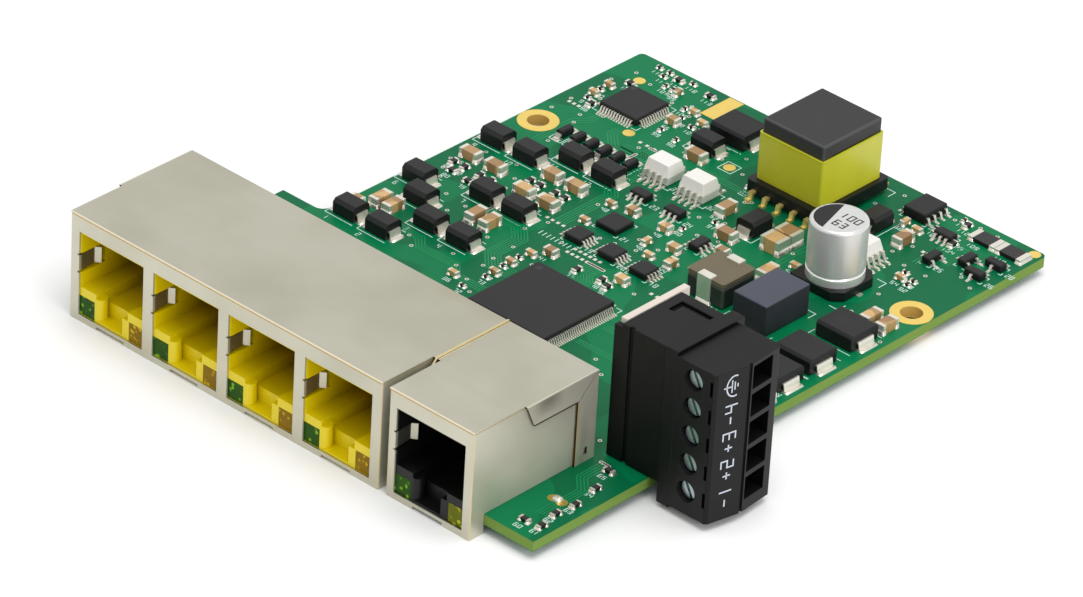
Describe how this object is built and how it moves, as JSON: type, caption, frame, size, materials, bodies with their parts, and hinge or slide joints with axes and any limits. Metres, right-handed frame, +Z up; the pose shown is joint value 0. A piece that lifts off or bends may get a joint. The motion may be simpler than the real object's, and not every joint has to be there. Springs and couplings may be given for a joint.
{
  "type": "unenclosed network switch board",
  "caption": "Bare circuit board of a network switch: a bank of shielded plug sockets, one single socket, a side-standing screw terminal plug, a taped transformer and dense small parts.",
  "frame": {"origin": "middle of the two screw holes, on the underside of the board", "axes": "+X along the row of sockets, towards the terminal plug; +Y from the socket faces into the board; +Z up from the board"},
  "size_m": [0.0942, 0.1055, 0.0243],
  "materials": {
    "solder_mask": "satin",
    "gold_plating": "satin",
    "tinned_steel": "satin",
    "yellow_plastic": "satin",
    "black_plastic": "satin",
    "green_lens": "gloss",
    "amber_lens": "gloss",
    "yellow_lens": "gloss",
    "spring_brass": "satin",
    "terminal_black": "satin",
    "riser_laminate": "matte",
    "tinned_copper": "satin",
    "zinc_steel": "satin",
    "ferrite": "matte",
    "yellow_tape": "satin",
    "winding_copper": "satin",
    "can_aluminium": "satin",
    "chip_epoxy": "matte",
    "white_moulding": "satin",
    "beige_plate": "matte",
    "grey_moulding": "matte",
    "tan_ceramic": "satin"
  },
  "bodies": {
    "board_assembly": {"circuit_board": "solder_mask", "gold_lands": "gold_plating", "port_bank_front_shield": "tinned_steel", "port_bank_cover": "tinned_steel", "port_bank_housing": "yellow_plastic", "port_bank_contacts": "gold_plating", "port_bank_core": "black_plastic", "port_bank_green_lamps": "green_lens", "port_bank_amber_lamps": "amber_lens", "uplink_front_shield": "tinned_steel", "uplink_cover": "tinned_steel", "uplink_housing": "black_plastic", "uplink_contacts": "gold_plating", "uplink_core": "black_plastic", "uplink_green_lamp": "green_lens", "uplink_yellow_lamp": "yellow_lens", "jack_tails": "tinned_copper", "grounding_spring": "spring_brass", "terminal_header": "terminal_black", "header_pins": "tinned_copper", "riser_board": "riser_laminate", "plug_body": "terminal_black", "contact_bars": "tinned_copper", "transformer_core": "ferrite", "transformer_bobbin": "black_plastic", "transformer_winding": "winding_copper", "transformer_tape": "yellow_tape", "transformer_pins": "tinned_copper", "capacitor_can": "can_aluminium", "capacitor_base": "black_plastic", "capacitor_leads": "tinned_copper", "switch_chip": "chip_epoxy", "switch_chip_leads": "tinned_copper", "controller_chip": "chip_epoxy", "controller_chip_leads": "tinned_copper", "small_chips": "chip_epoxy", "small_chip_leads": "tinned_copper", "optocouplers": "white_moulding", "clipped_inductor_core": "ferrite", "clipped_inductor_cap": "beige_plate", "clipped_inductor_clips": "tinned_copper", "moulded_inductor": "grey_moulding", "moulded_inductor_terminals": "tinned_copper", "large_diodes": "chip_epoxy", "small_diodes": "chip_epoxy", "diode_leads": "tinned_copper", "ceramic_capacitors": "tan_ceramic", "ceramic_capacitor_ends": "tinned_copper", "chip_resistors": "chip_epoxy", "chip_resistor_ends": "tinned_copper"},
    "screw_1": {"clamp_screw_1": "zinc_steel"},
    "cage_1": {"clamp_cage_1": "tinned_steel"},
    "screw_2": {"clamp_screw_2": "zinc_steel"},
    "cage_2": {"clamp_cage_2": "tinned_steel"},
    "screw_3": {"clamp_screw_3": "zinc_steel"},
    "cage_3": {"clamp_cage_3": "tinned_steel"},
    "screw_4": {"clamp_screw_4": "zinc_steel"},
    "cage_4": {"clamp_cage_4": "tinned_steel"},
    "screw_5": {"clamp_screw_5": "zinc_steel"},
    "cage_5": {"clamp_cage_5": "tinned_steel"}
  },
  "joints": [
    {"name": "screw_turn_1", "type": "hinge", "parent": "board_assembly", "child": "screw_1", "pos_m": [0.0443, -0.0561, 0.00325], "axis": [0, 1, 0], "range_deg": [0, 1440]},
    {"name": "cage_rise_1", "type": "slide", "parent": "board_assembly", "child": "cage_1", "axis": [0, -1, 0], "range_m": [0, 0.0018]},
    {"name": "screw_turn_2", "type": "hinge", "parent": "board_assembly", "child": "screw_2", "pos_m": [0.0443, -0.0561, 0.00745], "axis": [0, 1, 0], "range_deg": [0, 1440]},
    {"name": "cage_rise_2", "type": "slide", "parent": "board_assembly", "child": "cage_2", "axis": [0, -1, 0], "range_m": [0, 0.0018]},
    {"name": "screw_turn_3", "type": "hinge", "parent": "board_assembly", "child": "screw_3", "pos_m": [0.0443, -0.0561, 0.01165], "axis": [0, 1, 0], "range_deg": [0, 1440]},
    {"name": "cage_rise_3", "type": "slide", "parent": "board_assembly", "child": "cage_3", "axis": [0, -1, 0], "range_m": [0, 0.0018]},
    {"name": "screw_turn_4", "type": "hinge", "parent": "board_assembly", "child": "screw_4", "pos_m": [0.0443, -0.0561, 0.01585], "axis": [0, 1, 0], "range_deg": [0, 1440]},
    {"name": "cage_rise_4", "type": "slide", "parent": "board_assembly", "child": "cage_4", "axis": [0, -1, 0], "range_m": [0, 0.0018]},
    {"name": "screw_turn_5", "type": "hinge", "parent": "board_assembly", "child": "screw_5", "pos_m": [0.0443, -0.0561, 0.02005], "axis": [0, 1, 0], "range_deg": [0, 1440]},
    {"name": "cage_rise_5", "type": "slide", "parent": "board_assembly", "child": "cage_5", "axis": [0, -1, 0], "range_m": [0, 0.0018]}
  ],
  "couplings": [
    {"joint": "screw_turn_1", "follows": "cage_rise_1", "rad_per_m": 13963},
    {"joint": "screw_turn_2", "follows": "cage_rise_2", "rad_per_m": 13963},
    {"joint": "screw_turn_3", "follows": "cage_rise_3", "rad_per_m": 13963},
    {"joint": "screw_turn_4", "follows": "cage_rise_4", "rad_per_m": 13963},
    {"joint": "screw_turn_5", "follows": "cage_rise_5", "rad_per_m": 13963}
  ]
}
